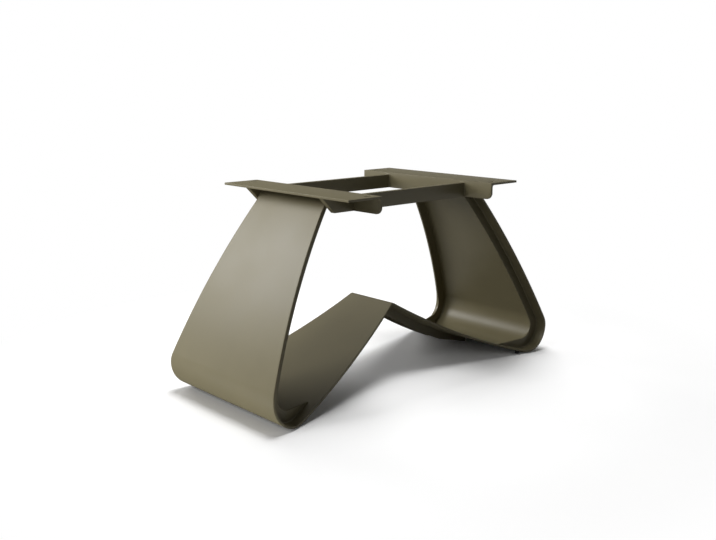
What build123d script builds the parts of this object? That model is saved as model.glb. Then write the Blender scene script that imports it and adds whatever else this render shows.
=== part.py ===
from build123d import *
from math import acos, asin, cos, degrees, radians, sin
import os

# Millimetres. X runs along the length, Y across the depth, Z up.
# The origin is on the floor under the peak.

# Heights
top_height = 720.0            # floor to the top face of the plates that carry the table top
roll_clearance = 5.0          # floor to the lowest line of the bent ribbon

# Ribbon: one plate bent into a W
ribbon_t = 8.0                # plate thickness
roll_radius = 100.0           # outer radius of the roll at each foot
roll_x = 600.0                # roll axis from the middle
leg_radius = 2500.0           # outer radius of the slightly bowed leg
leg_start_deg = 22.5          # lean of the leg off vertical where it leaves the roll
wing_radius = 2450.0          # underside radius of the slightly dished wing
wing_start_deg = 17.35        # slope of the wing where it leaves the roll
peak_bend_r = 12.0            # outside radius of the fold at the peak
waist_half = 112.0            # half width of the ribbon at the peak
flare_past = 28.8             # the wing is as wide as the foot this far past the roll axis
foot_half = 300.0             # half width of the ribbon at the rolls
leg_top_half = 180.0          # half width of the leg where it meets the top
leg_parallel = 53.0           # length below the top over which the leg keeps that width
foot_corner_z = 118.0         # height at which the leg starts to narrow
foot_corner_r = 160.0         # rounding between the foot and the straight edges
shoulder_r = 60.0             # rounding between the tapered and the parallel part of the leg

# Top angles: plate and web rolled as one
angle_t = 8.0                 # thickness of plate and web
angle_width = 147.0           # width of the plate
angle_overhang = 58.6         # plate past the outer face of the leg
angle_half_length = 338.5     # half length of the angle
web_depth = 60.0              # height of the angle, plate included
web_corner_r = 24.0           # rounded lower corners of the web
root_r = 8.0                  # fillet inside the angle
slot_inset_x = 37.0           # screw slots from the inner edge of the plate
slot_inset_y = 32.5           # screw slots from the end of the plate
slot_length = 30.0            # end to end
slot_width = 9.0              # clears an 8 mm screw

# Bracing between the angles and beside the legs
brace_t = 20.0                # thickness of rails and gussets
brace_gap = 10.0              # gussets clear of the edges of the leg
gusset_inset = 3.0            # gusset back from the outer edge of the plate
root_clearance = 1.0          # gusset corner clear of the angle's fillet

# Stiffening ribs welded square to the hidden side of the ribbon
rib_t = 8.0                   # thickness of a rib
leg_rib_setback = 42.0        # outer face of a leg rib back from the ribbon edge
leg_rib_rise = 39.0           # height of a leg rib over the plate
leg_rib_tail = 106.0          # how far a leg rib runs past the lowest line of the roll
wing_rib_y = 40.0             # outer face of a wing rib from the middle
wing_rib_depth = 33.0         # depth of a wing rib under the ribbon
wing_rib_stop = 99.0          # how far from the roll axis it stops
wing_rib_taper = 156.0        # length over which it gets shallower
wing_rib_end_depth = 16.0     # its depth where it stops

# Glides
glide_in_x = 34.0             # from the roll axis towards the middle
glide_in_y = 38.0             # from the edge of the foot
glide_r = 8.0                 # pad radius
glide_edge = 1.0              # chamfer on the floor edge

# Derived heights and arc centres, all in the XZ plane
plate_under = top_height - angle_t
web_bottom_z = top_height - web_depth
leg_top_z = top_height - leg_parallel
roll_z = roll_clearance + roll_radius
leg_cx = roll_x - (leg_radius - roll_radius) * cos(radians(leg_start_deg))
leg_cz = roll_z - (leg_radius - roll_radius) * sin(radians(leg_start_deg))
wing_end_deg = -90.0 - wing_start_deg
wing_cx = roll_x - (wing_radius - roll_radius) * cos(radians(wing_end_deg))
wing_cz = roll_z - (wing_radius - roll_radius) * sin(radians(wing_end_deg))

# Derived places of the welded pieces; the plates go to whole millimetres over the leg tops
leg_top_x = leg_cx + leg_radius * cos(asin((plate_under - leg_cz) / leg_radius))
angle_outer_x = round(leg_top_x + angle_overhang)
angle_inner_x = angle_outer_x - angle_width
web_outer_x = angle_inner_x + angle_t
slot_x = angle_inner_x + slot_inset_x
slot_y = angle_half_length - slot_inset_y
brace_inner_y = leg_top_half + brace_gap
brace_height = plate_under - web_bottom_z
gusset_top_x = angle_outer_x - gusset_inset
gusset_low_x = gusset_top_x - brace_height
leg_rib_end_x = roll_x - leg_rib_tail
wing_rib_end_x = roll_x - wing_rib_stop
wing_rib_taper_x = wing_rib_end_x - wing_rib_taper
glide_x = roll_x - glide_in_x
glide_y = foot_half - glide_in_y
flare_end_x = roll_x + flare_past
reach = roll_x + roll_radius + top_height  # past every side, for cutting shapes


def arc_point(cx, cz, radius, angle):
    """Point in XZ at an angle in degrees on a circle."""
    return (cx + radius * cos(radians(angle)), cz + radius * sin(radians(angle)))


def leg_point(angle, depth):
    """Point on the leg, a depth inside its outer face."""
    return arc_point(leg_cx, leg_cz, leg_radius - depth, angle)


def roll_point(angle, depth):
    """Point on the roll, a depth inside its outer face."""
    return arc_point(roll_x, roll_z, roll_radius - depth, angle)


def wing_point(angle, depth):
    """Point on the wing, a depth above its underside."""
    return arc_point(wing_cx, wing_cz, wing_radius - depth, angle)


def leg_angle_at(z, depth):
    """Angle at which the leg reaches a height."""
    return degrees(asin((z - leg_cz) / (leg_radius - depth)))


def wing_angle_at(x, depth):
    """Angle at which the wing reaches a distance from the middle."""
    return -degrees(acos((x - wing_cx) / (wing_radius - depth)))


def leg_stretch(depth):
    """Draws the leg from the top to the roll; returns its upper end."""
    high = leg_angle_at(plate_under, depth)
    start = leg_point(high, depth)
    ThreePointArc(start, leg_point((high + leg_start_deg) / 2, depth), leg_point(leg_start_deg, depth))
    return start


def roll_stretch(depth, end_deg):
    """Draws the roll from the leg to an angle."""
    middle = roll_point((leg_start_deg + end_deg) / 2, depth)
    ThreePointArc(roll_point(leg_start_deg, depth), middle, roll_point(end_deg, depth))


def wing_stretch(depth, first_x):
    """Draws the wing from a distance off the middle to the roll; returns its inner end."""
    first = wing_angle_at(first_x, depth)
    start = wing_point(first, depth)
    ThreePointArc(start, wing_point((first + wing_end_deg) / 2, depth), wing_point(wing_end_deg, depth))
    return start


def half_path(depth):
    """Draws leg, roll and wing of the right half at a depth; returns the two ends."""
    start = leg_stretch(depth)
    roll_stretch(depth, wing_end_deg)
    end = wing_stretch(depth, 0)
    return start, end


def outline_block(inset):
    """Block inside the ribbon's outline, both as seen from above and from the end."""
    half = foot_half - inset
    waist = waist_half - inset
    top_half = leg_top_half - inset
    with BuildSketch(Plane.XY) as plan:
        with BuildLine():
            Polyline((0, waist), (flare_end_x, half), (reach, half), (reach, 0), (0, 0), close=True)
        make_face()
        fillet([v for v in plan.vertices() if abs(v.X - flare_end_x) < 1], foot_corner_r)
        mirror(about=Plane.YZ)
        mirror(about=Plane.XZ)
    with BuildSketch(Plane.YZ) as end_view:
        with BuildLine():
            Polyline((0, -reach), (half, -reach), (half, foot_corner_z), (top_half, leg_top_z),
                     (top_half, reach), (0, reach), close=True)
        make_face()
        fillet([v for v in end_view.vertices() if abs(v.Y - foot_corner_z) < 1], foot_corner_r)
        fillet([v for v in end_view.vertices() if abs(v.Y - leg_top_z) < 1], shoulder_r)
        mirror(about=Plane.YZ)
    from_above = extrude(plan.sketch, amount=reach, both=True, mode=Mode.PRIVATE)
    from_end = extrude(end_view.sketch, amount=reach, both=True, mode=Mode.PRIVATE)
    return from_above & from_end


# Ribbon
with BuildPart() as w_ribbon:
    with BuildSketch(Plane.XZ) as half_profile:
        with BuildLine():
            outer_start, outer_end = half_path(0)
            inner_start, inner_end = half_path(ribbon_t)
            Line(outer_start, inner_start)
            Line(outer_end, inner_end)
        make_face()
    extrude(half_profile.sketch, amount=foot_half + foot_corner_r, both=True)
    mirror(about=Plane.YZ)
    add(outline_block(0), mode=Mode.INTERSECT)
    fold = w_ribbon.edges().filter_by(Axis.Y).filter_by(lambda e: abs(e.center().X) < 1)
    fillet(fold.sort_by(Axis.Z)[-1], peak_bend_r)

# Ribs on the inner side of each leg, from the top round the roll
rib_crest = ribbon_t + leg_rib_rise

with BuildPart() as leg_rib_right_front:
    with BuildSketch(Plane.XZ) as rib_profile:
        with BuildLine():
            plate_top = leg_stretch(ribbon_t)
            roll_stretch(ribbon_t, wing_end_deg)
            tip = wing_stretch(ribbon_t, leg_rib_end_x)
            Line(tip, roll_point(-90, rib_crest))
            roll_stretch(rib_crest, -90)
            crest_top = leg_stretch(rib_crest)
            Line(crest_top, plate_top)
        make_face()
    extrude(rib_profile.sketch, amount=reach)
    add(outline_block(leg_rib_setback), mode=Mode.INTERSECT)
    add(outline_block(leg_rib_setback + rib_t), mode=Mode.SUBTRACT)

with BuildPart() as leg_rib_right_back:
    mirror(leg_rib_right_front.part, about=Plane.XZ)

with BuildPart() as leg_rib_left_front:
    mirror(leg_rib_right_front.part, about=Plane.YZ)

with BuildPart() as leg_rib_left_back:
    mirror(leg_rib_left_front.part, about=Plane.XZ)


# Ribs under the wings, each one flat plate cut as a chevron
with BuildPart() as wing_rib_front:
    with BuildSketch(Plane.XZ.offset(wing_rib_y - rib_t)):
        with BuildLine():
            peak = wing_point(wing_angle_at(0, 0), 0)
            half_way = wing_point(wing_angle_at(wing_rib_end_x / 2, 0), 0)
            stop = wing_point(wing_angle_at(wing_rib_end_x, 0), 0)
            low_stop = (stop[0], stop[1] - wing_rib_end_depth)
            low_taper = wing_point(wing_angle_at(wing_rib_taper_x, -wing_rib_depth), -wing_rib_depth)
            low_way = wing_point(wing_angle_at(wing_rib_taper_x / 2, -wing_rib_depth), -wing_rib_depth)
            low_peak = wing_point(wing_angle_at(0, -wing_rib_depth), -wing_rib_depth)
            ThreePointArc(peak, half_way, stop)
            Polyline(stop, low_stop, low_taper)
            ThreePointArc(low_taper, low_way, low_peak)
            Line(low_peak, peak)
        make_face()
        mirror(about=Plane.YZ)
    extrude(amount=rib_t)

with BuildPart() as wing_rib_back:
    mirror(wing_rib_front.part, about=Plane.XZ)

# Top angles
with BuildPart() as top_angle_right:
    with BuildSketch(Plane.XZ.offset(-angle_half_length)) as angle_section:
        with BuildLine():
            Polyline((angle_inner_x, top_height), (angle_outer_x, top_height),
                     (angle_outer_x, plate_under), (web_outer_x, plate_under),
                     (web_outer_x, web_bottom_z), (angle_inner_x, web_bottom_z), close=True)
        make_face()
        inside = [v for v in angle_section.vertices() if abs(v.X - web_outer_x) < 1]
        root = [v for v in inside if abs(v.Y - plate_under) < 1]
        fillet(root, root_r)
    extrude(amount=2 * angle_half_length)
    across = top_angle_right.edges().filter_by(Axis.X)
    low_corners = across.filter_by(lambda e: abs(e.center().Z - web_bottom_z) < 1)
    fillet(low_corners, web_corner_r)
    with BuildSketch(Plane.XY.offset(plate_under)):
        with Locations((slot_x, slot_y), (slot_x, -slot_y)):
            SlotOverall(slot_length, slot_width)
    extrude(amount=angle_t, mode=Mode.SUBTRACT)

with BuildPart() as top_angle_left:
    mirror(top_angle_right.part, about=Plane.YZ)

# Rails between the webs
with BuildPart() as rail_front:
    with BuildSketch(Plane.XZ.offset(brace_inner_y)):
        with Locations((0, (plate_under + web_bottom_z) / 2)):
            Rectangle(2 * angle_inner_x, brace_height)
    extrude(amount=brace_t)

with BuildPart() as rail_back:
    mirror(rail_front.part, about=Plane.XZ)

# Gussets beside the legs
with BuildPart() as gusset_right_front:
    corner = root_r + root_clearance
    with BuildSketch(Plane.XZ.offset(brace_inner_y)):
        with BuildLine():
            Polyline((web_outer_x + corner, plate_under), (gusset_top_x, plate_under),
                     (gusset_low_x, web_bottom_z), (web_outer_x, web_bottom_z),
                     (web_outer_x, plate_under - corner), close=True)
        make_face()
    extrude(amount=brace_t)

with BuildPart() as gusset_right_back:
    mirror(gusset_right_front.part, about=Plane.XZ)

with BuildPart() as gusset_left_front:
    mirror(gusset_right_front.part, about=Plane.YZ)

with BuildPart() as gusset_left_back:
    mirror(gusset_left_front.part, about=Plane.XZ)

# Glides under the rolls
with BuildPart() as glide_right_front:
    with BuildSketch(Plane.XY):
        with Locations((glide_x, -glide_y)):
            Circle(glide_r)
    extrude(amount=roll_z)
    chamfer(glide_right_front.edges().sort_by(Axis.Z)[0], glide_edge)
    with BuildSketch(Plane.XZ) as under_ribbon:
        with BuildLine():
            low_roll = roll_point(-90, 0)
            roll_end = roll_point(wing_end_deg, 0)
            ThreePointArc(low_roll, roll_point((wing_end_deg - 90) / 2, 0), roll_end)
            inner = wing_stretch(0, leg_rib_end_x)
            Polyline(inner, (inner[0], 0), (low_roll[0], 0), low_roll)
        make_face()
    extrude(under_ribbon.sketch, amount=reach, mode=Mode.INTERSECT)

with BuildPart() as glide_right_back:
    mirror(glide_right_front.part, about=Plane.XZ)

with BuildPart() as glide_left_front:
    mirror(glide_right_front.part, about=Plane.YZ)

with BuildPart() as glide_left_back:
    mirror(glide_left_front.part, about=Plane.XZ)

# Names and files
parts = {
    "w_ribbon": w_ribbon,
    "leg_rib_right_front": leg_rib_right_front,
    "leg_rib_right_back": leg_rib_right_back,
    "leg_rib_left_front": leg_rib_left_front,
    "leg_rib_left_back": leg_rib_left_back,
    "wing_rib_front": wing_rib_front,
    "wing_rib_back": wing_rib_back,
    "top_angle_right": top_angle_right,
    "top_angle_left": top_angle_left,
    "rail_front": rail_front,
    "rail_back": rail_back,
    "gusset_right_front": gusset_right_front,
    "gusset_right_back": gusset_right_back,
    "gusset_left_front": gusset_left_front,
    "gusset_left_back": gusset_left_back,
    "glide_right_front": glide_right_front,
    "glide_right_back": glide_right_back,
    "glide_left_front": glide_left_front,
    "glide_left_back": glide_left_back,
}
os.makedirs("parts", exist_ok=True)
for name, builder in parts.items():
    builder.part.label = name
    export_step(builder.part, "parts/" + name + ".step")
    box = builder.part.bounding_box()
    print(name, round(builder.part.volume), box.min, box.max)
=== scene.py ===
# %% [markdown]
# # A W-shaped table base
# The object is the steel base of a dining table. One wide plate is bent into a W: a leg, a roll on the
# floor, a wing that climbs to a peak in the middle, and the same again on the other side. A small welded
# frame on top carries the table top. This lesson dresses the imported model: it loads the frame, works out
# fine surfaces for every piece, paints them, and lights them as in a photo studio.

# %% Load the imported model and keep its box
import math

import bpy
import numpy as np
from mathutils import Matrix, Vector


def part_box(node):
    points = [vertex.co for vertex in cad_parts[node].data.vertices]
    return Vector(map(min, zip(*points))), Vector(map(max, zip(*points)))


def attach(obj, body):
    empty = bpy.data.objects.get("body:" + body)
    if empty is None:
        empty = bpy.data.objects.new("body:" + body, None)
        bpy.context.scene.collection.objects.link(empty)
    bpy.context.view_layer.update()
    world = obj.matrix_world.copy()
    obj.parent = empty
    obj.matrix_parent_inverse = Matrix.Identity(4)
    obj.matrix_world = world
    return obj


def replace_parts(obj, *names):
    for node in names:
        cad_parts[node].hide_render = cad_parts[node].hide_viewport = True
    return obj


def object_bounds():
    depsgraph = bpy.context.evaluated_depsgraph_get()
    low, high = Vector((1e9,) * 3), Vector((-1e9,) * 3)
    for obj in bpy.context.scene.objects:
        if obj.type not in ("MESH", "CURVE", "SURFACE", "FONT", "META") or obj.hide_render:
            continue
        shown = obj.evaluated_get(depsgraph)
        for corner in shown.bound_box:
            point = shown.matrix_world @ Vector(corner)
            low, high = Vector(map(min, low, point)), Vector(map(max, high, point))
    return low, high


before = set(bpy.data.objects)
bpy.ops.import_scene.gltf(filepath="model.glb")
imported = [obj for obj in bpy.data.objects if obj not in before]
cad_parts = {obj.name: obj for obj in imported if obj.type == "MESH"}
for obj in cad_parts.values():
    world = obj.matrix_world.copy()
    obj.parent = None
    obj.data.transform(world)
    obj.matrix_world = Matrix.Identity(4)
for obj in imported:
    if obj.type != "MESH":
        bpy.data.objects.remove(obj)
cad_low, cad_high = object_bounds()
print("nodes in the frame:", len(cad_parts))
print("box of the solids:", [round(v, 4) for v in cad_low], [round(v, 4) for v in cad_high])

# %% [markdown]
# ## Camera
# The photograph is taken from about 43 degrees round the front left corner, a little above the table
# base. A camera can be aimed with a constraint, but a plain place and two angles are easier to read and
# to check. The place, the turn and the tilt come from fitting the frame on top and the floor line to the
# photograph.

# %% Set the camera
image_width_px = 716
focal_px = 899.0
sensor_width_mm = 36.0
camera_place = (-2.2807, -2.4040, 1.0851)
camera_turn = math.radians(47.411)
camera_tilt = math.radians(11.916)

camera_data = bpy.data.cameras.new("studio_camera")
camera_data.sensor_fit = "HORIZONTAL"
camera_data.sensor_width = sensor_width_mm
camera_data.lens = focal_px / image_width_px * sensor_width_mm
camera = bpy.data.objects.new("studio_camera", camera_data)
camera.location = camera_place
camera.rotation_euler = (math.pi / 2 - camera_tilt, 0.0, camera_turn - math.pi / 2)
bpy.context.collection.objects.link(camera)
bpy.context.scene.camera = camera
print("lens:", round(camera_data.lens, 2), "mm")

# %% [markdown]
# ## Sizes of the base
# The surfaces below follow the same arcs as the solids, so the sizes that shape them are repeated here in
# metres. Each half of the W is three arcs that run into each other: a slightly bowed leg, a tight roll
# and a slightly dished wing. Depth is counted from the outer face of the plate inwards, which keeps both
# faces on the same centres.

# %% Sizes of the bent plate
mm = 0.001
top_height = cad_high[2]
angle_t = 8 * mm
plate_under = top_height - angle_t
ribbon_t = 8 * mm
roll_radius = 100 * mm
roll_x = cad_high[0] - roll_radius
roll_clearance = 5 * mm
roll_z = roll_clearance + roll_radius
leg_radius = 2500 * mm
leg_start = math.radians(22.5)
wing_radius = 2450 * mm
wing_start = math.radians(-107.35)
fold_inner_r = 4 * mm

leg_cx = roll_x - (leg_radius - roll_radius) * math.cos(leg_start)
leg_cz = roll_z - (leg_radius - roll_radius) * math.sin(leg_start)
wing_cx = roll_x - (wing_radius - roll_radius) * math.cos(wing_start)
wing_cz = roll_z - (wing_radius - roll_radius) * math.sin(wing_start)
fold_cz = wing_cz - math.sqrt((wing_radius + fold_inner_r) ** 2 - wing_cx ** 2)
fold_half_turn = math.atan2(wing_cx, wing_cz - fold_cz)
wing_stop = math.atan2(fold_cz - wing_cz, -wing_cx)
print("peak of the W:", round((fold_cz + fold_inner_r + ribbon_t) / mm, 1), "mm above the floor")

# %% [markdown]
# ## Outline of the plate
# Seen from above, the wings flare from a narrow waist to the feet. Seen from the end, the legs narrow
# from the feet to the top. The plate was cut to both outlines before it was bent, so its half width at
# any point is the smaller of the two. Every corner of the outlines is rounded by a circle that touches
# both straight edges.

# %% Half width of the plate anywhere
waist_half = 112 * mm
foot_half = 300 * mm
flare_past = 28.8 * mm
flare_end_x = roll_x + flare_past
leg_top_half = 180 * mm
foot_corner_z = 118 * mm
leg_parallel = 53 * mm
leg_top_z = top_height - leg_parallel
foot_corner_r = 160 * mm
shoulder_r = 60 * mm


def round_corner(height, t, corner, slope_before, slope_after, radius):
    """Heights of a line with one corner, where a circle that touches both straight runs replaces the
    corner."""
    before, after = math.atan(slope_before), math.atan(slope_after)
    side = math.copysign(1.0, after - before)
    reach = radius * math.tan(abs(after - before) / 2)
    first_t = corner[0] - reach * math.cos(before)
    last_t = corner[0] + reach * math.cos(after)
    centre_t = first_t - side * radius * math.sin(before)
    centre_h = corner[1] - reach * math.sin(before) + side * radius * math.cos(before)
    arc = centre_h - side * np.sqrt(np.maximum(radius ** 2 - (t - centre_t) ** 2, 0.0))
    return np.where((t > first_t) & (t < last_t), arc, height)


def half_width(x, z, inset=0.0):
    """Smaller of the outline from above, a function of x, and the outline from the end, a function of z."""
    waist, foot, top = waist_half - inset, foot_half - inset, leg_top_half - inset
    flare = (foot_half - waist_half) / flare_end_x
    narrowing = (leg_top_half - foot_half) / (leg_top_z - foot_corner_z)
    from_above = np.minimum(waist + flare * np.abs(x), foot)
    from_above = round_corner(from_above, np.abs(x), (flare_end_x, foot), flare, 0.0, foot_corner_r)
    from_end = np.clip(foot + narrowing * (z - foot_corner_z), top, foot)
    from_end = round_corner(from_end, z, (foot_corner_z, foot), 0.0, narrowing, foot_corner_r)
    from_end = round_corner(from_end, z, (leg_top_z, top), narrowing, 0.0, shoulder_r)
    return np.minimum(from_above, from_end)


peak_width = 2 * float(half_width(0.0, fold_cz))
top_width = 2 * float(half_width(roll_x, plate_under))
print("width of the plate at peak and top:", round(peak_width / mm), round(top_width / mm), "mm")

# %% [markdown]
# ## From a grid of points to a mesh
# Every steel piece here is a profile carried along a path. The points form a grid: one row per station on
# the path, one column per point of the closed profile. Quads join neighbours, and one face closes each
# end. The signed volume tells whether the faces point outwards; if not, they are all turned.

# %% Make a closed skin from a grid
smooth_below = math.radians(35.0)
cubic_cm = (10 * mm) ** 3


def grid_faces(rows, columns):
    """Quads between neighbouring rows of a grid whose columns close on themselves, as an array of corner
    numbers."""
    row, column = np.meshgrid(np.arange(rows - 1), np.arange(columns), indexing="ij")
    beside = (column + 1) % columns
    quads = np.stack([row * columns + column, row * columns + beside,
                      (row + 1) * columns + beside, (row + 1) * columns + column], axis=-1)
    return quads.reshape(-1, 4)


def painted_piece(name, points, quads, caps, material=None):
    """Mesh object from points, quads and end faces. Unused points go, and all faces turn if the volume is
    negative."""
    used = np.unique(np.concatenate([quads.ravel()] + caps))
    place = np.zeros(len(points), dtype=int)
    place[used] = np.arange(len(used))
    points, quads, caps = points[used], place[quads], [place[cap] for cap in caps]
    a, b, c, d = (points[quads[:, corner]] for corner in range(4))
    volume = np.sum(a * np.cross(b, c)) + np.sum(a * np.cross(c, d))
    for cap in caps:
        fan = points[cap]
        volume += np.sum(fan[0] * np.cross(fan[1:-1], fan[2:]))
    faces = quads.tolist() + [cap.tolist() for cap in caps]
    if volume < 0:
        faces = [face[::-1] for face in faces]
    mesh = bpy.data.meshes.new(name)
    mesh.from_pydata(points, [], faces)
    mesh.polygons.foreach_set("use_smooth", np.ones(len(mesh.polygons), dtype=bool))
    mesh.set_sharp_from_angle(angle=smooth_below)
    mesh.materials.append(material or coat)
    piece = bpy.data.objects.new(name, mesh)
    bpy.context.collection.objects.link(piece)
    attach(piece, "root")
    print(name, len(points), "points,", round(abs(volume) / 6 / cubic_cm, 1), "cm3")
    return piece


def closed_skin(name, grid, material=None):
    """Piece from a grid of points (stations, profile points, xyz), closed round the profile and at both
    ends."""
    rows, columns = grid.shape[:2]
    numbers = np.arange(rows * columns).reshape(rows, columns)
    caps = [numbers[0, ::-1], numbers[-1]]
    return painted_piece(name, grid.reshape(-1, 3), grid_faces(rows, columns), caps, material)


# %% [markdown]
# ## Paint
# The steel is powder coated in a dark olive grey with a satin face. A single colour looks like plastic,
# so the coat gets what a real one has: a faint drift of tone over a hand's width, fine pinpoint grain,
# and the soft dimples that melted powder leaves, about two millimetres apart. All patterns read Object
# coordinates, so they stay on the piece. Seen square on, the coat has a soft gloss. At a flat angle a
# plain gloss would turn into a white veil, while the dimples of a real coat shade one another there, so
# Layer Weight makes the gloss duller towards flat angles.

# %% Helpers for noise
noise_middle = (0.3, 0.7)


def noise(nodes, links, place, scale, detail, name):
    """Noise texture node that reads the object's own coordinates."""
    node = nodes.new("ShaderNodeTexNoise")
    node.name = name
    node.inputs["Scale"].default_value = scale
    node.inputs["Detail"].default_value = detail
    links.new(place, node.inputs["Vector"])
    return node


def spread(nodes, links, source, low, high, name):
    """Map Range node that turns the middle of a noise into values from low to high."""
    node = nodes.new("ShaderNodeMapRange")
    node.name = name
    node.inputs["From Min"].default_value = noise_middle[0]
    node.inputs["From Max"].default_value = noise_middle[1]
    node.inputs["To Min"].default_value = low
    node.inputs["To Max"].default_value = high
    links.new(source, node.inputs["Value"])
    return node.outputs["Result"]


print("noise is used between", noise_middle[0], "and", noise_middle[1])

# %% Powder coat
coat_tone = (0.190, 0.167, 0.098)
tone_sway = 0.03
drift_scale = 7.0
drift_detail = 3.0
grain_scale = 900.0
grain_detail = 2.0
coat_gloss = 0.22
coat_roughness = 0.36
roughness_sway = 0.03
flat_angle_roughness = 1.0
gloss_fades = (0.35, 0.68)
dimple_scale = 420.0
dimple_detail = 1.5
dimple_strength = 0.12
dimple_depth = 0.1 * mm


def powder_coat(name):
    """Satin powder coat: tone drifts by a share either way, roughness varies a little, dimples come from
    bump."""
    material = bpy.data.materials.new(name)
    material.use_nodes = True
    nodes, links = material.node_tree.nodes, material.node_tree.links
    shader = nodes["Principled BSDF"]
    place = nodes.new("ShaderNodeTexCoord").outputs["Object"]
    broad = noise(nodes, links, place, drift_scale, drift_detail, "tone_drift")
    grain = noise(nodes, links, place, grain_scale, grain_detail, "pinpoint_grain")
    dimple = noise(nodes, links, place, dimple_scale, dimple_detail, "coat_dimples")
    sway = spread(nodes, links, broad.outputs["Fac"], 1.0 - tone_sway, 1.0 + tone_sway, "drift_range")
    fleck = spread(nodes, links, grain.outputs["Fac"], 1.0 - tone_sway, 1.0 + tone_sway, "grain_range")
    together = nodes.new("ShaderNodeMath")
    together.operation = "MULTIPLY"
    links.new(sway, together.inputs[0])
    links.new(fleck, together.inputs[1])
    colour = nodes.new("ShaderNodeVectorMath")
    colour.operation = "SCALE"
    colour.inputs[0].default_value = coat_tone
    links.new(together.outputs[0], colour.inputs["Scale"])
    links.new(colour.outputs["Vector"], shader.inputs["Base Color"])
    smoother, rougher = coat_roughness - roughness_sway, coat_roughness + roughness_sway
    rough = spread(nodes, links, broad.outputs["Fac"], smoother, rougher, "roughness_range")
    flat_angle = nodes.new("ShaderNodeLayerWeight")
    dull = nodes.new("ShaderNodeMapRange")
    dull.name = "duller_at_flat_angles"
    dull.interpolation_type = "SMOOTHSTEP"
    dull.inputs["From Min"].default_value = gloss_fades[0]
    dull.inputs["From Max"].default_value = gloss_fades[1]
    dull.inputs["To Max"].default_value = flat_angle_roughness
    links.new(flat_angle.outputs["Facing"], dull.inputs["Value"])
    links.new(rough, dull.inputs["To Min"])
    links.new(dull.outputs["Result"], shader.inputs["Roughness"])
    shader.inputs["Specular IOR Level"].default_value = coat_gloss
    bump = nodes.new("ShaderNodeBump")
    bump.inputs["Strength"].default_value = dimple_strength
    bump.inputs["Distance"].default_value = dimple_depth
    links.new(dimple.outputs["Fac"], bump.inputs["Height"])
    links.new(bump.outputs["Normal"], shader.inputs["Normal"])
    return material


coat = powder_coat("olive_grey_powder_coat")
print("coat tone:", coat_tone)

# %% [markdown]
# ## The bent ribbon
# On the real base this is one 8 mm plate. A Solidify modifier on a flat strip would give the thickness,
# but its edges would be knife sharp and it would not follow the level cut under the top. So the closed
# cross-section of the plate, with its edges eased by a small radius, is carried along leg, roll, wing and
# fold. Each point of the section keeps its own depth, and the half width is worked out for that very
# point.

# %% Section of the plate and its path
edge_r = 1.4 * mm
flat_share = 0.985
flat_points = 14
edge_steps = 5
leg_stations = 110
roll_stations = 80
wing_stations = 90
fold_stations = 12


def plate_section(thickness, radius):
    """Closed profile: depth, share of the flat half width, and overhang past it. Four quarter circles
    ease the edges."""
    flat = np.concatenate([[-1.0], np.linspace(-flat_share, flat_share, flat_points), [1.0]])
    turn = np.linspace(0.0, math.pi / 2, edge_steps + 1)[1:]
    near = radius * (1.0 - np.cos(turn))
    out = radius * np.sin(turn)
    side_depth = np.concatenate([near, thickness - near[::-1]])
    side_out = np.concatenate([out, out[::-1]])
    ones = np.ones(len(side_depth))
    level = np.zeros(len(flat))
    depth = np.concatenate([level, side_depth, level + thickness, side_depth[::-1]])
    share = np.concatenate([flat, ones, flat[::-1], -ones])
    overhang = np.concatenate([level, side_out, level, -side_out])
    return depth, share, overhang


def leg_arc(depth, steps):
    """Leg from its level cut under the top down to the roll: x and z on the circle of that depth."""
    high = np.arcsin((plate_under - leg_cz) / (leg_radius - depth))
    angle = high + (leg_start - high) * np.linspace(0.0, 1.0, steps)[:, None]
    return leg_cx + (leg_radius - depth) * np.cos(angle), leg_cz + (leg_radius - depth) * np.sin(angle)


def roll_arc(depth, stop, steps):
    """Roll from the leg round to an angle: x and z on the circle of that depth."""
    angle = np.linspace(leg_start, stop, steps)[:, None]
    return roll_x + (roll_radius - depth) * np.cos(angle), roll_z + (roll_radius - depth) * np.sin(angle)


def wing_arc(depth, steps):
    """Wing from the roll to the fold: x and z on the circle of that depth."""
    angle = np.linspace(wing_start, wing_stop, steps)[:, None]
    return wing_cx + (wing_radius - depth) * np.cos(angle), wing_cz + (wing_radius - depth) * np.sin(angle)


def fold_arc(depth, steps):
    """Fold from the wing to the middle: one centre, with the radius growing with depth as in a pressed
    bend."""
    angle = np.linspace(fold_half_turn, 0.0, steps)[:, None]
    return (fold_inner_r + depth) * np.sin(angle), fold_cz + (fold_inner_r + depth) * np.cos(angle)


def ribbon_grid():
    """Grid of the whole plate: the right half station by station, then its mirror image in reverse."""
    depth, share, overhang = plate_section(ribbon_t, edge_r)
    stretches = [leg_arc(depth, leg_stations), roll_arc(depth, wing_start, roll_stations),
                 wing_arc(depth, wing_stations), fold_arc(depth, fold_stations)]
    x = np.concatenate([stretches[0][0]] + [s[0][1:] for s in stretches[1:]])
    z = np.concatenate([stretches[0][1]] + [s[1][1:] for s in stretches[1:]])
    y = share * (half_width(x, z) - edge_r) + overhang
    right = np.stack([x, y, z], axis=-1)
    left = right[-2::-1] * np.array([-1.0, 1.0, 1.0])
    return np.concatenate([right, left])


print("points in the section of the plate:", len(plate_section(ribbon_t, edge_r)[0]))

# %% Make the ribbon
ribbon = closed_skin("bent_ribbon", ribbon_grid())
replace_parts(ribbon, "w_ribbon")

# %% [markdown]
# ## Leg ribs
# Thin plate would sway, so two flat ribs stand on the hidden side of each leg, set back from its edges.
# They follow the leg, go round inside the roll and run out on the wing. They could be extruded and bent
# with a modifier, but the same grid idea is exact: a rib is a small upright profile whose height is a
# depth into the W and whose two faces are the outline moved inwards. The feet of the profile spread into
# slim fillet welds that show a faint ripple.

# %% Profile of a rib with its welds
rib_t = 8 * mm
rib_edge_r = 1.2 * mm
weld_leg = 3.2 * mm
weld_ripple = 0.10
weld_pitch = 6.0 * mm
sink = 1.5 * mm
station_gap = 1.5 * mm
quarter_points = 5
face_points = 6


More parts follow.
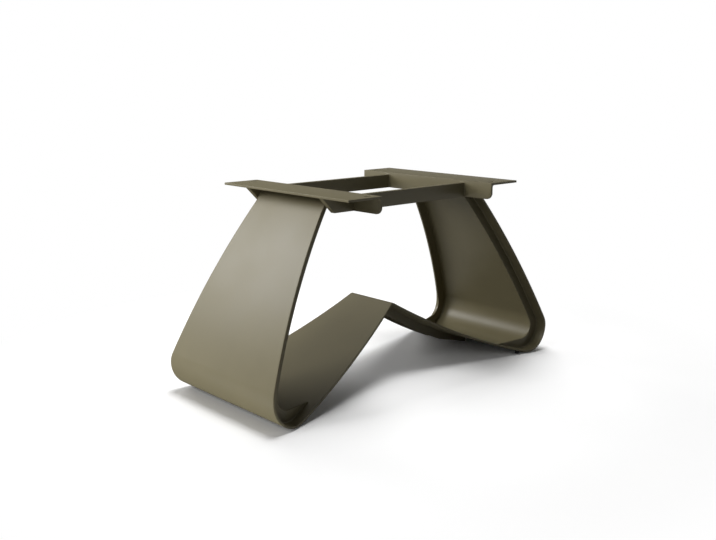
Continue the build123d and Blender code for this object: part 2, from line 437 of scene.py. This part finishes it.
def rib_profile(height):
    """Closed profile, across from the outer face and up from the plate: hollow quarter circles at the
    feet, eased crest."""
    turn = np.linspace(0.0, math.pi / 2, quarter_points)
    foot_across = -weld_leg + weld_leg * np.sin(turn)
    foot_up = weld_leg - weld_leg * np.cos(turn)
    crest_across = rib_edge_r - rib_edge_r * np.cos(turn)
    crest_up = height - rib_edge_r + rib_edge_r * np.sin(turn)
    face_up = np.linspace(weld_leg, height - rib_edge_r, face_points)[1:-1]
    across = np.concatenate([[-weld_leg], foot_across, np.zeros(len(face_up)), crest_across])
    up = np.concatenate([[-sink], foot_up, face_up, crest_up])
    return np.concatenate([across, rib_t - across[::-1]]), np.concatenate([up, up[::-1]])


def rippled(across, up, along):
    """Feet of a profile swell and shrink along the seam by a small sine, as the pool of a weld does."""
    swell = 1.0 + weld_ripple * np.sin(2 * math.pi * along / weld_pitch)[:, None]
    low = up < weld_leg
    outer = np.where(low & (across < 0), across * swell, across)
    return np.where(low & (across > rib_t), rib_t + (across - rib_t) * swell, outer)


print("a weld swells by a share of", weld_ripple, "every", round(weld_pitch / mm, 1), "mm")

# %% Make the four leg ribs
leg_rib_inset = 42 * mm
leg_rib_rise = 39 * mm
leg_rib_tail = 106 * mm
leg_rib_end_x = roll_x - leg_rib_tail


def wing_height(x, depth):
    """Height of the wing at a distance from the middle: the low side of its circle."""
    return wing_cz - np.sqrt((wing_radius - depth) ** 2 - (x - wing_cx) ** 2)


def floor_of_rib(x):
    """Top face of the plate between the lowest line of the roll and the wing: the roll's circle, then the
    wing's."""
    inner = roll_radius - ribbon_t
    roll_end = roll_x + inner * math.cos(wing_start)
    on_roll = roll_z - np.sqrt(np.maximum(inner ** 2 - (x - roll_x) ** 2, 0.0))
    return np.where(x > roll_end, on_roll, wing_height(x, ribbon_t))


def leg_rib_grid():
    """Right front rib: leg and roll on circles of each profile point's depth, then a straight crest down
    to the wing."""
    across, up = rib_profile(leg_rib_rise)
    leg_steps = int((plate_under - roll_z) / math.cos(leg_start) / station_gap)
    roll_steps = int((roll_radius - ribbon_t) * (leg_start + math.pi / 2) / station_gap)
    tail_steps = int(leg_rib_tail / station_gap)
    leg_x, leg_z = leg_arc(ribbon_t + up, leg_steps)
    bend_x, bend_z = roll_arc(ribbon_t + up, -math.pi / 2, roll_steps)
    tail_x = np.linspace(roll_x, leg_rib_end_x, tail_steps)[1:, None] * np.ones(len(up))
    plate_z = floor_of_rib(tail_x)
    crest_low = floor_of_rib(np.array(leg_rib_end_x))
    crest_high = roll_z - roll_radius + ribbon_t + leg_rib_rise
    crest_z = crest_low + (crest_high - crest_low) * (tail_x - leg_rib_end_x) / leg_rib_tail
    tail_z = plate_z + np.where(up > 0, up * (crest_z - plate_z) / leg_rib_rise, up)
    x = np.concatenate([leg_x, bend_x[1:], tail_x])
    z = np.concatenate([leg_z, bend_z[1:], tail_z])
    wavy = rippled(across, up, np.arange(len(x)) * station_gap)
    return np.stack([x, -half_width(x, z, leg_rib_inset + wavy), z], axis=-1)


leg_rib = leg_rib_grid()
for side, side_sign in (("right", 1.0), ("left", -1.0)):
    for end, end_sign in (("front", 1.0), ("back", -1.0)):
        name = "leg_rib_" + side + "_" + end
        piece = closed_skin("welded_" + name, leg_rib * np.array([side_sign, end_sign, 1.0]))
        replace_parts(piece, name)

# %% [markdown]
# ## Wing ribs
# Two flat ribs cut as chevrons hang under the wings near the middle and get shallower towards the rolls.
# They are the same profile turned upside down and carried along the length, with the height worked out
# from the two edges.

# %% Make the two wing ribs
wing_rib_y = 40 * mm
wing_rib_depth = 33 * mm
wing_rib_stop = 99 * mm
wing_rib_end_x = roll_x - wing_rib_stop
wing_rib_taper = 156 * mm
wing_rib_taper_x = wing_rib_end_x - wing_rib_taper
wing_rib_end_depth = 16 * mm


def wing_rib_grid():
    """Front rib: level stations in x, upper edge on the wing's underside, lower edge an arc and then a
    straight taper."""
    across, up = rib_profile(wing_rib_depth)
    steps = int(2 * wing_rib_end_x / station_gap)
    x = np.linspace(-wing_rib_end_x, wing_rib_end_x, steps)[:, None] * np.ones(len(up))
    upper = wing_height(np.abs(x), 0.0)
    taper_low = wing_height(wing_rib_taper_x, -wing_rib_depth)
    end_low = wing_height(wing_rib_end_x, 0.0) - wing_rib_end_depth
    share = (np.abs(x) - wing_rib_taper_x) / wing_rib_taper
    arc = wing_height(np.abs(x), -wing_rib_depth)
    lower = np.where(share > 0, taper_low + share * (end_low - taper_low), arc)
    z = upper - np.where(up > 0, up * (upper - lower) / wing_rib_depth, up)
    wavy = rippled(across, up, np.arange(steps) * station_gap)
    return np.stack([x, -wing_rib_y + wavy, z], axis=-1)


wing_rib = wing_rib_grid()
for end, end_sign in (("front", 1.0), ("back", -1.0)):
    name = "wing_rib_" + end
    piece = closed_skin("welded_" + name, wing_rib * np.array([1.0, end_sign, 1.0]))
    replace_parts(piece, name)

# %% [markdown]
# ## Top angles
# Two rolled angles carry the table top: a plate with a web under its inner edge, a hollow root between
# them, rounded lower corners on the web and a screw slot near each end of the plate. Cutting the slots
# with a Boolean would leave long thin faces. Here the angle's section is carried along its length, the
# faces round each slot are left out, and rings of quads that change from a rectangle to the slot's
# outline fill the place.

# %% Section of the angle and its stations
angle_inner_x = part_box("top_angle_right")[0][0]
angle_outer_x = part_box("top_angle_right")[1][0]
angle_half_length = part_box("top_angle_right")[1][1]
web_bottom_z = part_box("top_angle_right")[0][2]
web_corner_r = 24 * mm
root_r = 8 * mm
angle_edge_r = 1.2 * mm
slot_inset_x = 37 * mm
slot_x = angle_inner_x + slot_inset_x
slot_inset_y = 32.5 * mm
slot_y = angle_half_length - slot_inset_y
slot_half_length = 15 * mm
slot_half_width = 4.5 * mm
block_half_x = 19.5 * mm
block_half_y = 9.5 * mm
block_steps_x = 12
block_steps_y = 6
arc_steps = 5
root_steps = 7
corner_steps = 14
ease_steps = 4
middle_steps = 12
top_run_start = arc_steps
under_run_start = 3 * arc_steps + block_steps_x + 1


def quarter(cx, cz, radius, first_deg, last_deg, steps=arc_steps):
    """Points of an arc round a centre between two angles, as rows of x and z."""
    angle = np.radians(np.linspace(first_deg, last_deg, steps))
    return np.stack([cx + radius * np.cos(angle), cz + radius * np.sin(angle)], axis=-1)


def over_slot(direction, z):
    """Level points across the slot's block, outwards or inwards."""
    x = slot_x + direction * np.linspace(-block_half_x, block_half_x, block_steps_x + 1)
    return np.stack([x, np.full(len(x), z)], axis=-1)


def angle_section():
    """Closed section: along the plate's top, round its edge, back underneath, through the root and round
    the web."""
    r, t = angle_edge_r, angle_t
    x0, x1, top, low = angle_inner_x, angle_outer_x, top_height, web_bottom_z
    return np.concatenate([
        quarter(x0 + r, top - r, r, 180, 90), over_slot(1.0, top), quarter(x1 - r, top - r, r, 90, 0),
        quarter(x1 - r, top - t + r, r, 0, -90), over_slot(-1.0, top - t),
        quarter(x0 + t + root_r, top - t - root_r, root_r, 90, 180, root_steps),
        quarter(x0 + t - r, low + r, r, 0, -90), quarter(x0 + r, low + r, r, -90, -180)])


def angle_stations():
    """Places along the length: close together where the web's corners turn and where the slots are."""
    corner = web_corner_r * (1.0 - np.cos(np.linspace(0.0, math.pi / 2, corner_steps)))
    ease = angle_edge_r * (1.0 - np.cos(np.linspace(0.0, math.pi / 2, ease_steps)))
    end = angle_half_length - np.unique(np.concatenate([ease, corner[2:]]))
    end = end[end > slot_y + block_half_y]
    slot = slot_y + np.linspace(block_half_y, -block_half_y, block_steps_y + 1)
    middle = np.linspace(slot_y - block_half_y, 0.0, middle_steps)[1:]
    half = np.concatenate([end, slot, middle])
    return np.concatenate([-half, half[-2::-1]])


def outward(section):
    """Unit normals of a closed section, from the difference of the neighbours turned by a right angle."""
    along = np.roll(section, -1, axis=0) - np.roll(section, 1, axis=0)
    along = along / np.linalg.norm(along, axis=1, keepdims=True)
    return np.stack([-along[:, 1], along[:, 0]], axis=-1)


print("angle:", len(angle_section()), "points in its section,", len(angle_stations()), "stations")

# %% Carry the section along the angle
same_place = 0.001 * mm


def curve_in(distance, radius):
    """Quarter circle: the full radius at distance zero, nothing from one radius on."""
    short = np.maximum(radius - distance, 0.0)
    return radius - np.sqrt(np.maximum(radius ** 2 - short ** 2, 0.0))


def angle_grid():
    """Rows along y: the section drawn in at the very ends to ease them, and the web lifted where its
    corners turn."""
    section, y = angle_section(), angle_stations()
    left = angle_half_length - np.abs(y)
    ease = curve_in(left, angle_edge_r)
    rise = curve_in(left, web_corner_r)
    web_foot = section[:, 1] < web_bottom_z + web_corner_r
    moved = section[None] - ease[:, None, None] * outward(section)[None]
    z = moved[..., 1] + web_foot[None] * rise[:, None]
    return np.stack([moved[..., 0], np.broadcast_to(y[:, None], z.shape), z], axis=-1), y


def slot_outline(t_x, t_y, grow):
    """Slot point for each point of the block's edge: straight sides stay level, the rest goes round the
    end circles."""
    core = slot_half_length - slot_half_width
    past = np.maximum(np.abs(t_x) - core, 0.0) / (block_half_x - core)
    on_side = np.abs(np.abs(t_y) - block_half_y) < same_place
    share = np.where(on_side, 0.5 * past, 1.0 - 0.5 * np.abs(t_y) / block_half_y)
    angle = (1.0 - share) * math.pi / 2
    radius = slot_half_width + grow
    x = np.sign(t_x) * np.where(share > 0, core + radius * np.cos(angle), np.abs(t_x))
    return x, np.where(t_y >= 0, 1.0, -1.0) * radius * np.sin(angle)


def block_edge(numbers):
    """Point numbers round the edge of a block, in order: along, across, back and across again."""
    return np.concatenate([numbers[0, :-1], numbers[:-1, -1], numbers[-1, :0:-1], numbers[:0:-1, 0]])


def ring_quads(first, second):
    """Quads between two closed rings of point numbers of the same length."""
    return np.stack([first, np.roll(first, -1), np.roll(second, -1), second], axis=-1)


print("grid of the angle:", angle_grid()[0].shape[:2])

# %% Open the slots and make both angles
slot_eased = 0.6 * mm
part_eased = 0.3 * slot_eased
half_way = 0.5
slot_rings = ((half_way, slot_eased, 0.0), (1.0, slot_eased, 0.0), (1.0, part_eased, part_eased),
              (1.0, 0.0, slot_eased), (1.0, 0.0, angle_t - slot_eased), (1.0, slot_eased, angle_t),
              (half_way, slot_eased, angle_t))


def slotted_angle(name, side_sign):
    """Carried section without the faces over the slots, then rings down through each slot. A ring is part
    of the way from the block's edge to the slot's outline, a growth of the outline and a depth below the
    top."""
    grid, y = angle_grid()
    rows, columns = grid.shape[:2]
    points = [grid.reshape(-1, 3)]
    numbers = np.arange(rows * columns).reshape(rows, columns)
    quads = grid_faces(rows, columns)
    row_of, column_of = quads[:, 0] // columns, quads[:, 0] % columns
    top_columns = top_run_start + np.arange(block_steps_x + 1)
    under_columns = under_run_start + np.arange(block_steps_x + 1)
    kept = np.ones(len(quads), dtype=bool)
    rings_made = []
    count = rows * columns
    for centre_y in (-slot_y, slot_y):
        slot_rows = np.flatnonzero(np.abs(y - centre_y) < block_half_y + same_place)
        in_rows = (row_of >= slot_rows[0]) & (row_of < slot_rows[-1])
        for face_columns in (top_columns, under_columns):
            kept &= ~(in_rows & (column_of >= face_columns[0]) & (column_of < face_columns[-1]))
        top_edge = block_edge(numbers[np.ix_(slot_rows, top_columns)])
        under_edge = block_edge(numbers[np.ix_(slot_rows, under_columns[::-1])])
        t_x, t_y = points[0][top_edge, 0] - slot_x, points[0][top_edge, 1] - centre_y
        rings = [top_edge]
        for share, grow, depth in slot_rings:
            hole_x, hole_y = slot_outline(t_x, t_y, grow)
            points.append(np.stack([slot_x + (1 - share) * t_x + share * hole_x,
                                    centre_y + (1 - share) * t_y + share * hole_y,
                                    np.full(len(t_x), top_height - depth)], axis=-1))
            rings.append(count + np.arange(len(t_x)))
            count += len(t_x)
        rings.append(under_edge)
        rings_made += [ring_quads(a, b) for a, b in zip(rings[:-1], rings[1:])]
    all_points = np.concatenate(points) * np.array([side_sign, 1.0, 1.0])
    all_quads = np.concatenate([quads[kept]] + rings_made)
    return painted_piece(name, all_points, all_quads, [numbers[0, ::-1], numbers[-1]])


for side, side_sign in (("right", 1.0), ("left", -1.0)):
    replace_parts(slotted_angle("rolled_top_angle_" + side, side_sign), "top_angle_" + side)

# %% [markdown]
# ## Rails and gussets
# Flat bars join the two webs, and short pieces of the same bar, cut at 45 degrees, brace web and plate
# beside the legs. A cube with a Bevel would do, but one helper serves both shapes here: any convex
# outline gets its corners rounded by arcs, and is carried along a straight line. The outline may shrink
# or swell on the way by moving each point along its own normal: it shrinks to ease the cut ends of a
# gusset and swells into the welds of a rail.

# %% Outline with rounded corners, carried along a line
bar_edge_r = 1.2 * mm
end_places = 6
middle_places = 8


def rounded_outline(corners, radius):
    """Arc at each corner of a convex outline that runs against the clock: centre inside both edges, from
    one edge's normal to the next one's. Gives the points and their normals."""
    corners = np.array(corners)
    edge = np.roll(corners, -1, axis=0) - corners
    edge = edge / np.linalg.norm(edge, axis=1, keepdims=True)
    normal = np.stack([edge[:, 1], -edge[:, 0]], axis=-1)
    before = np.roll(normal, 1, axis=0)
    dot = np.sum(before * normal, axis=1, keepdims=True)
    centre = corners - radius * (before + normal) / (1.0 + dot)
    first = np.arctan2(before[:, 1], before[:, 0])[:, None]
    turn = np.arccos(np.clip(dot, -1.0, 1.0))
    angle = first + turn * np.linspace(0.0, 1.0, quarter_points)[None]
    out = np.stack([np.cos(angle), np.sin(angle)], axis=-1)
    return (centre[:, None] + radius * out).reshape(-1, 2), out.reshape(-1, 2)


def quarter_stations(low, high, radius):
    """Places along a line that come close together within a radius of both ends."""
    near = radius * (1.0 - np.cos(np.linspace(0.0, math.pi / 2, end_places)))
    between = np.linspace(low + radius, high - radius, middle_places)[1:-1]
    return np.concatenate([low + near, between, high - near[::-1]])


print("edges of the bars are eased by", round(bar_edge_r / mm, 1), "mm")

# %% Make the rails
rail_low, rail_high = (np.array(corner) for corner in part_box("rail_front"))


def rail_grid():
    """Bar section carried along x; within a weld's leg of both webs it swells sideways and upwards."""
    (x0, y0, z0), (x1, y1, z1) = rail_low, rail_high
    outline, normal = rounded_outline([(y0, z0), (y1, z0), (y1, z1), (y0, z1)], bar_edge_r)
    x = quarter_stations(x0, x1, weld_leg)
    swell = curve_in(x1 - np.abs(x), weld_leg)
    section = outline[None] + swell[:, None, None] * normal[None]
    z = np.maximum(section[..., 1], z0)
    return np.stack([np.broadcast_to(x[:, None], z.shape), section[..., 0], z], axis=-1)


for end, end_sign in (("front", 1.0), ("back", -1.0)):
    piece = closed_skin("flat_bar_rail_" + end, rail_grid() * np.array([1.0, end_sign, 1.0]))
    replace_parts(piece, "rail_" + end)

# %% Make the gussets
gusset_low, gusset_high = (np.array(corner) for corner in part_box("gusset_right_front"))
root_clearance = 1 * mm
root_corner = root_r + root_clearance
gusset_edge_r = 1.5 * mm


def gusset_grid():
    """Five-sided outline, cut at 45 degrees outside and cleared at the root, carried along y with eased
    ends."""
    (x0, y0, z0), (x1, y1, z1) = gusset_low, gusset_high
    corners = [(x0, z0), (x1 - (z1 - z0), z0), (x1, z1), (x0 + root_corner, z1), (x0, z1 - root_corner)]
    outline, normal = rounded_outline(corners, gusset_edge_r)
    y = quarter_stations(y0, y1, bar_edge_r)
    shrink = curve_in((y1 - y0) / 2 - np.abs(y - (y0 + y1) / 2), bar_edge_r)
    section = outline[None] - shrink[:, None, None] * normal[None]
    along = np.broadcast_to(y[:, None], section.shape[:2])
    return np.stack([section[..., 0], along, section[..., 1]], axis=-1)


for side, side_sign in (("right", 1.0), ("left", -1.0)):
    for end, end_sign in (("front", 1.0), ("back", -1.0)):
        name = "gusset_" + side + "_" + end
        piece = closed_skin("flat_bar_" + name, gusset_grid() * np.array([side_sign, end_sign, 1.0]))
        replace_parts(piece, name)

# %% [markdown]
# ## Glides
# A small black rubber pad under each end of the rolls keeps the steel off the floor. It is a turned
# shape, so its profile is carried round in a circle: flat underneath, a rounded edge, a straight side.
# The top ring does not stay level: each of its points goes up to the underside of the plate above it and
# just into it.

# %% Rubber
rubber_colour = (0.020, 0.020, 0.019)
rubber_scale = 600.0
rubber_detail = 3.0
rubber_tones = (0.8, 1.2)
rubber_roughness = (0.62, 0.78)
rubber_gloss = 0.3

rubber = bpy.data.materials.new("black_glide_rubber")
rubber.use_nodes = True
rubber_nodes, rubber_links = rubber.node_tree.nodes, rubber.node_tree.links
rubber_shader = rubber_nodes["Principled BSDF"]
rubber_place = rubber_nodes.new("ShaderNodeTexCoord").outputs["Object"]
rubber_noise = noise(rubber_nodes, rubber_links, rubber_place, rubber_scale, rubber_detail, "rubber_grain")
rubber_grain = rubber_noise.outputs["Fac"]
rubber_shade = spread(rubber_nodes, rubber_links, rubber_grain, *rubber_tones, "rubber_range")
rubber_rough = spread(rubber_nodes, rubber_links, rubber_grain, *rubber_roughness, "rubber_roughness")
rubber_tone = rubber_nodes.new("ShaderNodeVectorMath")
rubber_tone.operation = "SCALE"
rubber_tone.inputs[0].default_value = rubber_colour
rubber_links.new(rubber_shade, rubber_tone.inputs["Scale"])
rubber_links.new(rubber_tone.outputs["Vector"], rubber_shader.inputs["Base Color"])
rubber_links.new(rubber_rough, rubber_shader.inputs["Roughness"])
rubber_shader.inputs["Specular IOR Level"].default_value = rubber_gloss
print("rubber tone:", rubber_colour)

# %% Make the glides
glide_low, glide_high = (np.array(corner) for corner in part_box("glide_right_front"))
glide_round = 1.5 * mm
glide_sides = 40
glide_sink = 0.6 * mm
inner_ring_share = 0.5


def under_plate(x):
    """Underside of the plate near the floor: the wing's circle up to where the roll begins, then the
    roll's."""
    on_roll = roll_z - np.sqrt(np.maximum(roll_radius ** 2 - (x - roll_x) ** 2, 0.0))
    return np.where(x > roll_x + roll_radius * math.cos(wing_start), on_roll, wing_height(x, 0.0))


def glide_grid():
    """Rings of a turned pad: out along the floor, round the edge, up the side to the plate."""
    centre = (glide_low + glide_high) / 2
    radius = (glide_high[0] - glide_low[0]) / 2
    turn = np.linspace(0.0, math.pi / 2, quarter_points)
    edge = radius - glide_round + glide_round * np.sin(turn)
    ring_r = np.concatenate([[inner_ring_share * radius], edge, [radius]])
    ring_z = np.concatenate([[0.0], glide_round - glide_round * np.cos(turn), [0.0]])
    angle = np.linspace(0.0, 2 * math.pi, glide_sides, endpoint=False)[None]
    x = centre[0] + ring_r[:, None] * np.cos(angle)
    y = centre[1] + ring_r[:, None] * np.sin(angle)
    z = np.broadcast_to(ring_z[:, None], x.shape).copy()
    z[-1] = under_plate(x[-1]) + glide_sink
    return np.stack([x, y, z], axis=-1)


for side, side_sign in (("right", 1.0), ("left", -1.0)):
    for end, end_sign in (("front", 1.0), ("back", -1.0)):
        name = "glide_" + side + "_" + end
        pad = glide_grid() * np.array([side_sign, end_sign, 1.0])
        piece = closed_skin("rubber_" + name, pad, rubber)
        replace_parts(piece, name)

# %% [markdown]
# ## Floor and background
# The studio floor is a plain pale sheet. Its colour is white to the camera and greyer to the light that
# bounces, so that the underside of the base stays as dark as in the photograph. Far from the base, where
# no shadow falls, the sheet turns into the plain white of the background. The world is white to the
# camera and to reflections and dim to everything else.

# %% Floor
floor_half = 30.0

floor_mesh = bpy.data.meshes.new("studio_floor")
floor_mesh.from_pydata([(-floor_half, -floor_half, 0.0), (floor_half, -floor_half, 0.0),
                        (floor_half, floor_half, 0.0), (-floor_half, floor_half, 0.0)], [], [(0, 1, 2, 3)])
floor = bpy.data.objects.new("studio_floor", floor_mesh)
bpy.context.collection.objects.link(floor)
print("floor:", 2 * floor_half, "m square")


# %% Rays that see the background
def seen_by_camera(nodes, links):
    """One for rays from the camera and for mirror and glass rays, zero for light that bounces."""
    path = nodes.new("ShaderNodeLightPath")
    either = nodes.new("ShaderNodeMath")
    either.operation = "MAXIMUM"
    links.new(path.outputs["Is Camera Ray"], either.inputs[0])
    links.new(path.outputs["Is Glossy Ray"], either.inputs[1])
    all_three = nodes.new("ShaderNodeMath")
    all_three.operation = "MAXIMUM"
    links.new(either.outputs[0], all_three.inputs[0])
    links.new(path.outputs["Is Transmission Ray"], all_three.inputs[1])
    return all_three.outputs[0]


print("rays that see the background: camera, mirror and glass")

# %% Floor paint
floor_camera_tone = 1.00
floor_bounce_tone = 0.18
shadow_reach = 1.0
white_from = 1.6

floor_paint = bpy.data.materials.new("studio_floor")
floor_paint.use_nodes = True
floor_nodes, floor_links = floor_paint.node_tree.nodes, floor_paint.node_tree.links
floor_nodes.remove(floor_nodes["Principled BSDF"])
floor_seen = seen_by_camera(floor_nodes, floor_links)
pale_sheet = floor_nodes.new("ShaderNodeBsdfDiffuse")
floor_range = floor_nodes.new("ShaderNodeMapRange")
floor_range.inputs["To Min"].default_value = floor_bounce_tone
floor_range.inputs["To Max"].default_value = floor_camera_tone
floor_links.new(floor_seen, floor_range.inputs["Value"])
floor_links.new(floor_range.outputs["Result"], pale_sheet.inputs["Color"])
plain_white = floor_nodes.new("ShaderNodeEmission")
from_middle = floor_nodes.new("ShaderNodeVectorMath")
from_middle.operation = "LENGTH"
floor_links.new(floor_nodes.new("ShaderNodeTexCoord").outputs["Object"], from_middle.inputs[0])
fade = floor_nodes.new("ShaderNodeMapRange")
fade.interpolation_type = "SMOOTHSTEP"
fade.inputs["From Min"].default_value = shadow_reach
fade.inputs["From Max"].default_value = white_from
floor_links.new(from_middle.outputs["Value"], fade.inputs["Value"])
far_and_seen = floor_nodes.new("ShaderNodeMath")
far_and_seen.operation = "MULTIPLY"
floor_links.new(fade.outputs["Result"], far_and_seen.inputs[0])
floor_links.new(floor_seen, far_and_seen.inputs[1])
floor_mix = floor_nodes.new("ShaderNodeMixShader")
floor_links.new(far_and_seen.outputs[0], floor_mix.inputs["Fac"])
floor_links.new(pale_sheet.outputs["BSDF"], floor_mix.inputs[1])
floor_links.new(plain_white.outputs["Emission"], floor_mix.inputs[2])
floor_links.new(floor_mix.outputs["Shader"], floor_nodes["Material Output"].inputs["Surface"])
floor_mesh.materials.append(floor_paint)
print("floor plain white from", white_from, "m")

# %% World
world_light = 0.02
white = 1.0

world = bpy.data.worlds.new("studio")
bpy.context.scene.world = world
world.use_nodes = True
world_nodes, world_links = world.node_tree.nodes, world.node_tree.links
world_range = world_nodes.new("ShaderNodeMapRange")
world_range.inputs["To Min"].default_value = world_light
world_range.inputs["To Max"].default_value = white
world_links.new(seen_by_camera(world_nodes, world_links), world_range.inputs["Value"])
world_links.new(world_range.outputs["Result"], world_nodes["Background"].inputs["Strength"])
world_nodes["Background"].inputs["Color"].default_value = (white, white, white, 1.0)
print("world light:", world_light)

# %% [markdown]
# ## Light on the base
# In the photograph the left leg is the brightest face, the plates are half as bright and what faces the
# front is dark. So three large soft lamps stand on the left: the strongest low at the back, one beside
# the base and one high up. A fourth, low on the right, lights only the side that the photograph doesn't
# show. An ordinary lamp would light the floor too. Light linking keeps the two apart, so that the base
# and its shadow can each be matched.

# %% Lamps of the base
lamp_aim = np.array([0.0, 0.0, 0.35])
lamp_distance = 4.0
softbox_size = 1.8


def square_lamp(name, size, power, floor_only):
    """Square area lamp whose light falls either on the floor alone or on everything but the floor."""
    data = bpy.data.lights.new(name, "AREA")
    data.shape = "SQUARE"
    data.size = size
    data.energy = power
    lamp = bpy.data.objects.new(name, data)
    lamp.visible_camera = False
    bpy.context.collection.objects.link(lamp)
    lit = bpy.data.collections.new(name + "_lit")
    lit.objects.link(floor)
    if not floor_only:
        lit.collection_objects[0].light_linking.link_state = "EXCLUDE"
    lamp.light_linking.receiver_collection = lit
    print(name, "with", power, "W")
    return lamp


def stand(lamp, azimuth, elevation):
    """Put a lamp at a distance from the middle of the base, in degrees round from +X and up, and turn it
    to face it."""
    turn, lift = math.radians(azimuth), math.radians(elevation)
    away = np.array([math.cos(turn) * math.cos(lift), math.sin(turn) * math.cos(lift), math.sin(lift)])
    lamp.location = lamp_aim + lamp_distance * away
    lamp.rotation_euler = (math.pi / 2 - lift, 0.0, turn + math.pi / 2)


back_left = square_lamp("back_left_softbox", size=softbox_size, power=107.0, floor_only=False)
stand(back_left, azimuth=120.0, elevation=25.0)
beside = square_lamp("left_softbox", size=softbox_size, power=39.0, floor_only=False)
stand(beside, azimuth=170.0, elevation=35.0)
high_left = square_lamp("high_left_softbox", size=softbox_size, power=32.0, floor_only=False)
stand(high_left, azimuth=155.0, elevation=60.0)
far_side = square_lamp("right_softbox", size=softbox_size, power=60.0, floor_only=False)
stand(far_side, azimuth=20.0, elevation=8.0)

# %% [markdown]
# ## Light on the floor
# The shadow is soft and lies under the base and to its right. Five lamps that reach the floor alone make
# it: one overhead, one over the back right, two low ones at the back and on the left, and a weak one in
# front that opens the darkest corner beside the left roll. Each casts a shadow of its own, and together
# they leave a dark core with a long soft rim.

# %% Lamps of the floor
overhead_size = 1.5
floor_lamp_size = 2.5

overhead = square_lamp("floor_overhead", size=overhead_size, power=88.0, floor_only=True)
stand(overhead, azimuth=0.0, elevation=90.0)
back_right = square_lamp("floor_back_right", size=floor_lamp_size, power=88.0, floor_only=True)
stand(back_right, azimuth=45.0, elevation=65.0)
low_back = square_lamp("floor_back", size=floor_lamp_size, power=78.0, floor_only=True)
stand(low_back, azimuth=90.0, elevation=18.0)
low_left = square_lamp("floor_left", size=floor_lamp_size, power=71.0, floor_only=True)
stand(low_left, azimuth=180.0, elevation=18.0)
front = square_lamp("floor_front", size=floor_lamp_size, power=15.0, floor_only=True)
stand(front, azimuth=270.0, elevation=20.0)

# %% [markdown]
# ## Reflector
# The underside of the left roll is as light as a pale board beside it would make it. The board is a weak
# lamp that lies just over the floor and faces up. Neither the camera nor reflections see it.

# %% Reflector
reflector_size = 1.0
reflector_away = 0.48
reflector_above = 4 * mm

reflector = square_lamp("floor_reflector", size=reflector_size, power=3.5, floor_only=False)
reflector.location = (-cad_high[0] - reflector_away, 0.0, reflector_above)
reflector.rotation_euler = (math.pi, 0.0, 0.0)
reflector.visible_glossy = False

# %% [markdown]
# ## Finish
# The view stays plain, so that a colour renders as it is written. Dressing must not change the size.

# %% Keep the view plain
bpy.context.scene.view_settings.view_transform = "Standard"
